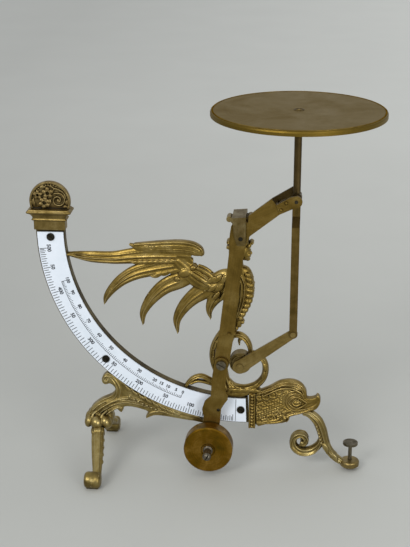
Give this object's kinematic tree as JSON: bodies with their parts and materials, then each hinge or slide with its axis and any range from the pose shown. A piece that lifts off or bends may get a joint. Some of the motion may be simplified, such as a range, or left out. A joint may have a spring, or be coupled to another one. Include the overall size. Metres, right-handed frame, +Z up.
{
  "type": "antique postal scale",
  "caption": "Cast brass letter scale with a winged figure, a round pan on a bell crank lever, a hinged counterweight arm and an enamel scale on a quarter-round rail.",
  "frame": {"origin": "middle of the object's outline seen from above, on the surface that it stands on", "axes": "+Z up; +X to the right along the scale's face, towards the pan; the enamel face looks towards -Y"},
  "size_m": [0.2496, 0.12, 0.2706],
  "materials": {
    "cast_brass": "old cast brass with an olive patina",
    "sheet_brass": "brown toned sheet brass",
    "pan_brass": "dull spun brass",
    "weight_brass": "turned brass with a golden brown tone",
    "dark_steel": "darkened steel",
    "enamel": "glossy white vitreous enamel on a metal plate"
  },
  "bodies": {
    "stand": {"arc_rail": "cast_brass", "scale_plate": "enamel", "scale_screws": "dark_steel", "finial_socket": "cast_brass", "finial_medallion": "cast_brass", "bead_band": "cast_brass", "fish_head": "cast_brass", "scroll_foot": "cast_brass", "foot_pad": "cast_brass", "leaf_bracket": "cast_brass", "front_leg": "cast_brass", "rear_leg": "cast_brass", "tail_stem": "cast_brass", "pivot_boss": "cast_brass", "side_scroll": "cast_brass", "figure_body": "cast_brass", "wing": "cast_brass", "figure_head": "cast_brass", "capital": "cast_brass", "saddle": "sheet_brass", "link_screw": "sheet_brass"},
    "lever": {"lever_plate": "sheet_brass", "main_axle": "dark_steel", "fork": "sheet_brass", "fork_cheek": "sheet_brass", "fork_rivets": "sheet_brass", "pan_axle": "dark_steel", "stop_pin": "sheet_brass", "arm_screw": "dark_steel", "arm_washer": "sheet_brass"},
    "pendulum": {"weight_arm": "sheet_brass", "counterweight": "weight_brass", "weight_stud": "dark_steel"},
    "pan_carrier": {"carrier": "sheet_brass", "pan_collar": "sheet_brass", "pan": "pan_brass", "pan_rivet": "sheet_brass"},
    "guide": {"guide_link": "sheet_brass", "link_rivet": "sheet_brass"},
    "screw": {"levelling_screw": "dark_steel"}
  },
  "joints": [
    {"name": "lever_pivot", "type": "hinge", "parent": "stand", "child": "lever", "pos_m": [0.02692, 0, 0.1815], "axis": [0, 1, 0], "range_deg": [-4, 80]},
    {"name": "carrier_pivot", "type": "hinge", "parent": "lever", "child": "pan_carrier", "pos_m": [0.06478, 0, 0.20901], "axis": [0, 1, 0], "range_deg": [-80, 4]},
    {"name": "link_pivot", "type": "hinge", "parent": "stand", "child": "guide", "pos_m": [0.02692, 0, 0.0821], "axis": [0, 1, 0], "range_deg": [-4, 80]},
    {"name": "weight_arm_pivot", "type": "hinge", "parent": "lever", "child": "pendulum", "pos_m": [0.01396, 0, 0.08567], "axis": [0, 1, 0], "range_deg": [0, 172]},
    {"name": "levelling", "type": "slide", "parent": "stand", "child": "screw", "axis": [0, 0, 1], "range_m": [-0.003, 0.0025]}
  ],
  "couplings": [
    {"joint": "carrier_pivot", "follows": "lever_pivot", "ratio": -1},
    {"joint": "link_pivot", "follows": "lever_pivot", "ratio": 1}
  ]
}
